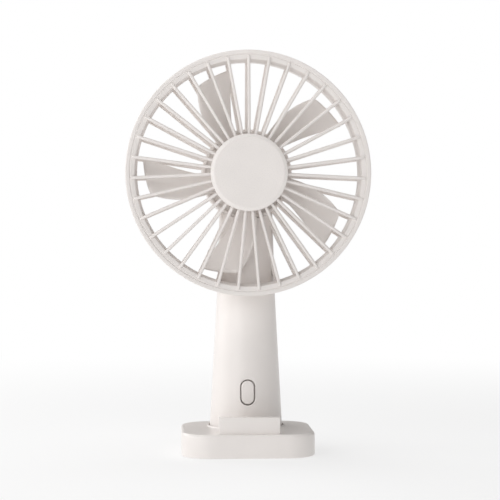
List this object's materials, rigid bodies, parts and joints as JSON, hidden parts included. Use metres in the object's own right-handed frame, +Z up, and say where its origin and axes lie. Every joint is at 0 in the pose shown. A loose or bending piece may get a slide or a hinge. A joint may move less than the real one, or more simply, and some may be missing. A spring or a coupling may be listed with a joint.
{
  "type": "handheld electric fan",
  "caption": "Small battery fan with a round spoked guard, a tapered round handle with a push button, and a removable base with a lip that holds a phone.",
  "frame": {"origin": "middle of the base's footprint, on the table", "axes": "+Z up, -Y is the front, the way the fan blows, +X is to the right as seen from the front"},
  "size_m": [0.1106, 0.054, 0.1823],
  "materials": {
    "shell": "fine matte, moulded off-white",
    "blades": "satin, slightly greyer white",
    "button": "satin",
    "steel": "plated, satin",
    "dark_steel": "dark grey, matte",
    "bronze": "satin",
    "copper": "enamelled copper",
    "black_plastic": "matte",
    "board": "green solder mask",
    "cell_wrap": "shrink sleeve, satin",
    "lead_sheath": "silicone sheath",
    "rubber": "matte grey rubber"
  },
  "bodies": {
    "stand": {"stand_body": "shell", "stand_bottom_plate": "shell", "stand_screws": "steel", "stand_feet": "rubber"},
    "fan": {"front_guard": "shell", "hub_cap": "shell", "rear_guard": "shell", "motor_screws": "steel", "motor_can": "steel", "motor_magnets": "dark_steel", "motor_end_cap": "black_plastic", "motor_terminals": "bronze", "front_bush": "bronze", "rear_bush": "bronze", "handle_front_shell": "shell", "handle_rear_shell": "shell", "foot_cap": "shell", "case_screws": "steel", "switch_body": "black_plastic", "circuit_board": "board", "board_parts": "black_plastic", "port_shell": "steel", "port_tongue": "black_plastic", "battery_cell": "cell_wrap", "battery_tabs": "steel", "battery_leads": "lead_sheath", "motor_leads": "lead_sheath"},
    "rotor": {"impeller": "blades", "motor_shaft": "steel", "armature_core": "dark_steel", "armature_windings": "copper", "commutator": "copper"},
    "button": {"power_button": "button", "switch_plunger": "button"}
  },
  "joints": [
    {"name": "fan_lift", "type": "slide", "parent": "stand", "child": "fan", "axis": [0, 0, 1], "range_m": [0, 0.02]},
    {"name": "impeller_spin", "type": "hinge", "parent": "fan", "child": "rotor", "pos_m": [0, 0, 0.1271], "axis": [0, 1, 0], "continuous": true},
    {"name": "power_button_press", "type": "slide", "parent": "fan", "child": "button", "axis": [0, 1, 0], "range_m": [0, 0.0004], "stiffness_N_per_m": 900}
  ]
}
